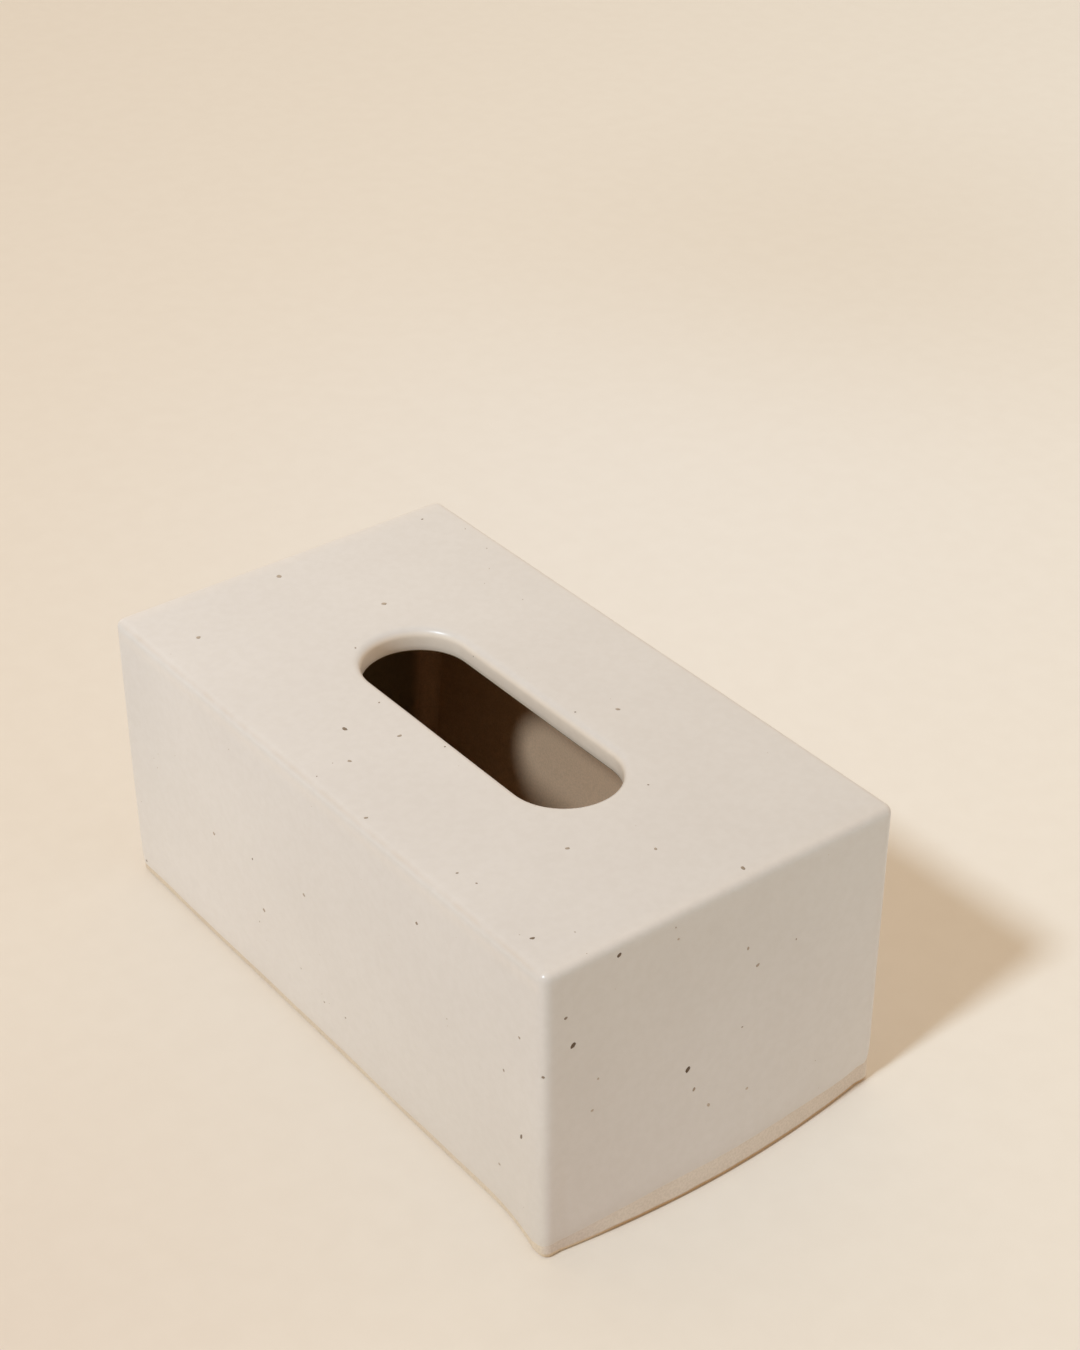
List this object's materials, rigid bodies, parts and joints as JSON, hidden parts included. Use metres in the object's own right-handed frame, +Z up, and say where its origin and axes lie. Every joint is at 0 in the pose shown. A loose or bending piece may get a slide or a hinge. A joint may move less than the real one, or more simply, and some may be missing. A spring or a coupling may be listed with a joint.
{
  "type": "tissue box cover",
  "caption": "Open-bottomed rectangular slab-built stoneware cover for a flat box of tissues, with a round-ended slot in its top.",
  "frame": {"origin": "on the table plane, under the middle of the cover", "axes": "+X along the length, +Y along the depth towards the back wall, +Z up"},
  "size_m": [0.2658, 0.1446, 0.118],
  "materials": {
    "clay": "bare fired stoneware, matt and slightly sandy",
    "glaze": "satin off-white glaze with iron specks"
  },
  "bodies": {
    "root": {"top_slab": "clay", "front_wall": "clay", "back_wall": "clay", "left_end_wall": "clay", "right_end_wall": "clay", "corner_coil_front_left": "clay", "corner_coil_front_right": "clay", "corner_coil_back_left": "clay", "corner_coil_back_right": "clay", "seam_coil_front": "clay", "seam_coil_back": "clay", "seam_coil_left": "clay", "seam_coil_right": "clay", "glaze_coat": "glaze"}
  },
  "joints": []
}
